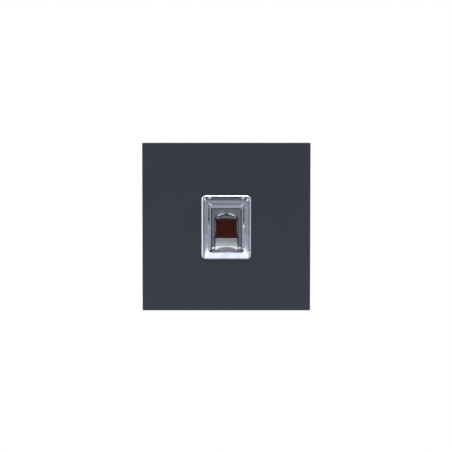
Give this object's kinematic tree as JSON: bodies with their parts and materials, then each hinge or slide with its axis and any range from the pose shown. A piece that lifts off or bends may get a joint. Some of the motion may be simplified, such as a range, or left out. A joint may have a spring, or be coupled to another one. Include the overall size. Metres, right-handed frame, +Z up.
{
  "type": "fingerprint scanner terminal",
  "caption": "Flush wall fingerprint reader module: square front plate, stepped silver finger recess with a fixed sensor, rear housing, side latches and plug-in terminals.",
  "frame": {"origin": "centre of the square front plate, in the plane of its rear seating rim", "axes": "front faces -Y, +Y into the wall, +X right seen from the front, +Z up"},
  "size_m": [0.099, 0.0442, 0.099],
  "materials": {
    "anthracite_plastic": "matt anthracite moulded plastic, very fine even texture",
    "satin_silver": "satin silver plating with a slight blue cast",
    "guide_metal": "smooth grey metal, polished along its edges",
    "sensor_coating": "dark red-brown protective coating, glossy",
    "sensor_black": "dark moulding compound",
    "clear_plastic": "milky clear moulding",
    "black_rubber": "matt black rubber",
    "black_plastic": "black moulded plastic",
    "housing_plastic": "dark grey moulded plastic with a fine spark texture",
    "circuit_board": "green solder mask",
    "chip_black": "black epoxy",
    "ferrite": "matt grey ferrite",
    "capacitor_sleeve": "dark sleeve",
    "relay_blue": "blue moulded cover",
    "switch_blue": "blue moulded body",
    "terminal_green": "green moulded plastic",
    "ivory_plastic": "ivory moulded plastic",
    "button_grey": "light grey moulded plastic",
    "flex_film": "amber polyimide film",
    "spring_steel": "bright drawn wire",
    "screw_steel": "zinc-plated steel"
  },
  "bodies": {
    "module": {"front_plate": "anthracite_plastic", "plate_seal": "black_rubber", "bezel_seal": "black_rubber", "scanner_bezel": "satin_silver", "finger_guide": "guide_metal", "guide_gasket": "black_rubber", "sensor_package": "sensor_black", "sensor_window": "sensor_coating", "light_pipe": "clear_plastic", "earth_spring": "spring_steel", "sensor_board": "circuit_board", "sensor_socket": "ivory_plastic", "sensor_bracket": "housing_plastic", "bracket_screw_1": "screw_steel", "bracket_screw_2": "screw_steel", "bracket_screw_3": "screw_steel", "bracket_screw_4": "screw_steel", "flex_cable": "flex_film", "main_board": "circuit_board", "board_socket": "ivory_plastic", "processor": "chip_black", "memory_chip": "chip_black", "inductor": "ferrite", "capacitor_1": "capacitor_sleeve", "capacitor_2": "capacitor_sleeve", "beeper": "black_plastic", "relay_1": "relay_blue", "relay_2": "relay_blue", "terminal_header": "terminal_green", "dip_switch": "switch_blue", "service_switch": "black_plastic", "tamper_switch": "black_plastic", "tamper_spring": "spring_steel", "housing": "housing_plastic", "rear_cover": "housing_plastic", "housing_screw_1": "screw_steel", "housing_screw_2": "screw_steel", "housing_screw_3": "screw_steel", "housing_screw_4": "screw_steel", "board_screw_1": "screw_steel", "board_screw_2": "screw_steel", "board_screw_3": "screw_steel", "board_screw_4": "screw_steel", "latch_spring_left": "spring_steel", "latch_spring_right": "spring_steel"},
    "latch_left": {"latch_left": "black_plastic"},
    "latch_right": {"latch_right": "black_plastic"},
    "terminal_plug": {"terminal_plug": "terminal_green", "plug_screw_1": "screw_steel", "plug_screw_2": "screw_steel", "plug_screw_3": "screw_steel", "plug_screw_4": "screw_steel", "plug_screw_5": "screw_steel", "plug_screw_6": "screw_steel"},
    "dip_slider_1": {"dip_slider_1": "ivory_plastic"},
    "dip_slider_2": {"dip_slider_2": "ivory_plastic"},
    "dip_slider_3": {"dip_slider_3": "ivory_plastic"},
    "dip_slider_4": {"dip_slider_4": "ivory_plastic"},
    "service_button": {"service_button": "button_grey"},
    "tamper_plunger": {"tamper_plunger": "ivory_plastic"}
  },
  "joints": [
    {"name": "latch_left_slide", "type": "slide", "parent": "module", "child": "latch_left", "axis": [1, 0, 0], "range_m": [0, 0.0026], "stiffness_N_per_m": 500, "springref_m": -0.002, "deforming": ["latch_spring_left"]},
    {"name": "latch_right_slide", "type": "slide", "parent": "module", "child": "latch_right", "axis": [-1, 0, 0], "range_m": [0, 0.0026], "stiffness_N_per_m": 500, "springref_m": -0.002, "deforming": ["latch_spring_right"]},
    {"name": "plug_pull", "type": "slide", "parent": "module", "child": "terminal_plug", "axis": [0, 1, 0], "range_m": [0, 0.014]},
    {"name": "dip_slide_1", "type": "slide", "parent": "module", "child": "dip_slider_1", "axis": [0, 0, 1], "range_m": [0, 0.0015]},
    {"name": "dip_slide_2", "type": "slide", "parent": "module", "child": "dip_slider_2", "axis": [0, 0, 1], "range_m": [-0.0015, 0]},
    {"name": "dip_slide_3", "type": "slide", "parent": "module", "child": "dip_slider_3", "axis": [0, 0, 1], "range_m": [0, 0.0015]},
    {"name": "dip_slide_4", "type": "slide", "parent": "module", "child": "dip_slider_4", "axis": [0, 0, 1], "range_m": [0, 0.0015]},
    {"name": "service_press", "type": "slide", "parent": "module", "child": "service_button", "axis": [0, -1, 0], "range_m": [0, 0.0006], "stiffness_N_per_m": 1500, "springref_m": -0.0003},
    {"name": "tamper_press", "type": "slide", "parent": "module", "child": "tamper_plunger", "axis": [0, -1, 0], "range_m": [0, 0.0022], "stiffness_N_per_m": 400, "springref_m": -0.0015, "deforming": ["tamper_spring"]}
  ]
}
